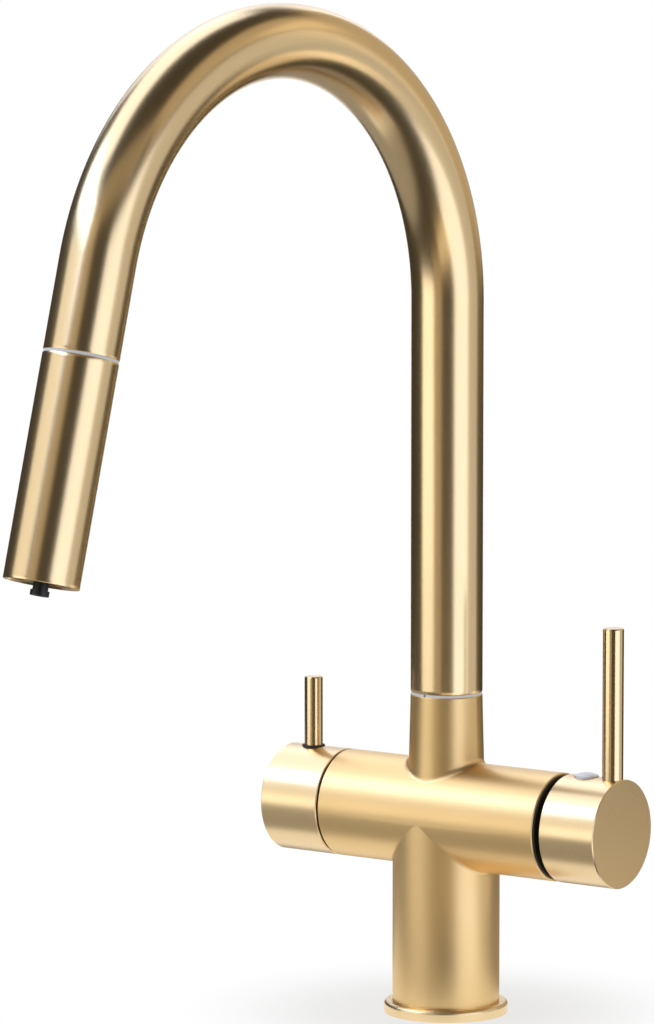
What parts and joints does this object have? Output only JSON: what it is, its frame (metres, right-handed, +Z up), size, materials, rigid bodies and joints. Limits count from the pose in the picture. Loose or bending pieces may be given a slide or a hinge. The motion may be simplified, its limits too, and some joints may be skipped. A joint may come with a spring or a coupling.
{
  "type": "three way filtered water tap",
  "caption": "Pull-out kitchen tap with a tall bent spout, a side mixer handle, a filtered-water handle and a clamp shank for a sink deck.",
  "frame": {"origin": "centre of the base on the deck plane, on the column's axis", "axes": "+Z up; +X along the barrel to the mixer handle; the spout leans over towards -Y, the user's side"},
  "size_m": [0.1552, 0.2709, 0.4661],
  "materials": {
    "cast_gold": "satin brushed, warm gold coat",
    "drawn_gold": "fine lengthwise brushed, warm gold coat",
    "turned_gold": "turned and brushed round, warm gold coat",
    "lever_gold": "smooth satin, warm gold coat",
    "raw_brass": "machined",
    "steel": "machined",
    "white_nylon": "moulded",
    "white_gloss": "moulded, glossy",
    "black_plastic": "moulded",
    "grey_plastic": "moulded",
    "ceramic": "lapped ceramic",
    "rubber": "moulded",
    "hose_braid": "braided nylon cover",
    "filter_tube": "extruded food-grade tube"
  },
  "bodies": {
    "root": {"base_ring": "turned_gold", "base_seal": "rubber", "mounting_shank": "raw_brass", "deck_washer": "rubber", "clamp_washer": "steel", "clamp_nut": "raw_brass", "body_casting": "cast_gold", "foot_ring": "white_nylon", "stop_screw": "steel", "hose_tail": "raw_brass", "cartridge_base": "grey_plastic", "cartridge_seals": "rubber", "fixed_disc": "ceramic", "cartridge_housing": "grey_plastic", "cartridge_nut": "raw_brass", "mixer_cover": "black_plastic", "filter_seat_seal": "rubber", "filter_fixed_disc": "ceramic", "filter_valve_body": "raw_brass"},
    "mixer_carrier": {"mixer_carrier": "grey_plastic", "pivot_pin": "steel"},
    "mixer_handle": {"mixer_stem": "raw_brass", "mixer_knob": "turned_gold", "mixer_lever": "lever_gold", "mixer_grub_screw": "steel", "index_button": "white_gloss"},
    "mixer_disc": {"moving_disc": "ceramic", "disc_slider": "grey_plastic"},
    "filter_handle": {"filter_knob": "turned_gold", "filter_lever": "lever_gold", "filter_lever_ring": "rubber", "filter_grub_screw": "steel", "filter_spindle": "raw_brass", "filter_moving_disc": "ceramic", "spindle_o_rings": "rubber", "spindle_clip": "steel"},
    "spout": {"glide_ring": "white_nylon", "swivel_nipple": "raw_brass", "neck_o_rings": "rubber", "spout_tube": "drawn_gold", "hose_guide": "grey_plastic", "pull_out_hose": "hose_braid", "filtered_tube": "filter_tube", "docking_bush": "black_plastic"},
    "hose_end": {"hose_swivel": "raw_brass", "swivel_o_ring": "rubber"},
    "head": {"hose_nut": "raw_brass", "docking_collar": "white_nylon", "docking_o_ring": "rubber", "head_core": "grey_plastic", "filtered_duct": "raw_brass", "head_shell": "drawn_gold", "aerator_housing": "black_plastic", "aerator_screen": "grey_plastic", "filtered_nozzle": "black_plastic"}
  },
  "joints": [
    {"name": "spout_swivel", "type": "hinge", "parent": "root", "child": "spout", "pos_m": [0, 0, 0.1255], "axis": [0, 0, 1], "continuous": true},
    {"name": "mixer_turn", "type": "hinge", "parent": "root", "child": "mixer_carrier", "pos_m": [0.035, 0, 0.0781], "axis": [1, 0, 0], "range_deg": [-50, 50]},
    {"name": "mixer_tilt", "type": "hinge", "parent": "mixer_carrier", "child": "mixer_handle", "pos_m": [0.035, 0, 0.0781], "axis": [0, 1, 0], "range_deg": [0, 20]},
    {"name": "disc_slide", "type": "slide", "parent": "mixer_carrier", "child": "mixer_disc", "axis": [0, 0, 1], "range_m": [0, 0.0025]},
    {"name": "filter_turn", "type": "hinge", "parent": "root", "child": "filter_handle", "pos_m": [-0.05, 0, 0.0781], "axis": [1, 0, 0], "range_deg": [0, 90]},
    {"name": "head_pull", "type": "slide", "parent": "spout", "child": "hose_end", "axis": [-0.0199, -0.2641, -0.9643], "range_m": [0, 0.18], "deforming": ["pull_out_hose", "filtered_tube"]},
    {"name": "head_turn", "type": "hinge", "parent": "hose_end", "child": "head", "pos_m": [-0.01589, -0.21131, 0.27277], "axis": [-0.0199, -0.2641, -0.9643], "continuous": true}
  ],
  "couplings": [
    {"joint": "disc_slide", "follows": "mixer_tilt", "m_per_rad": 0.00715}
  ]
}
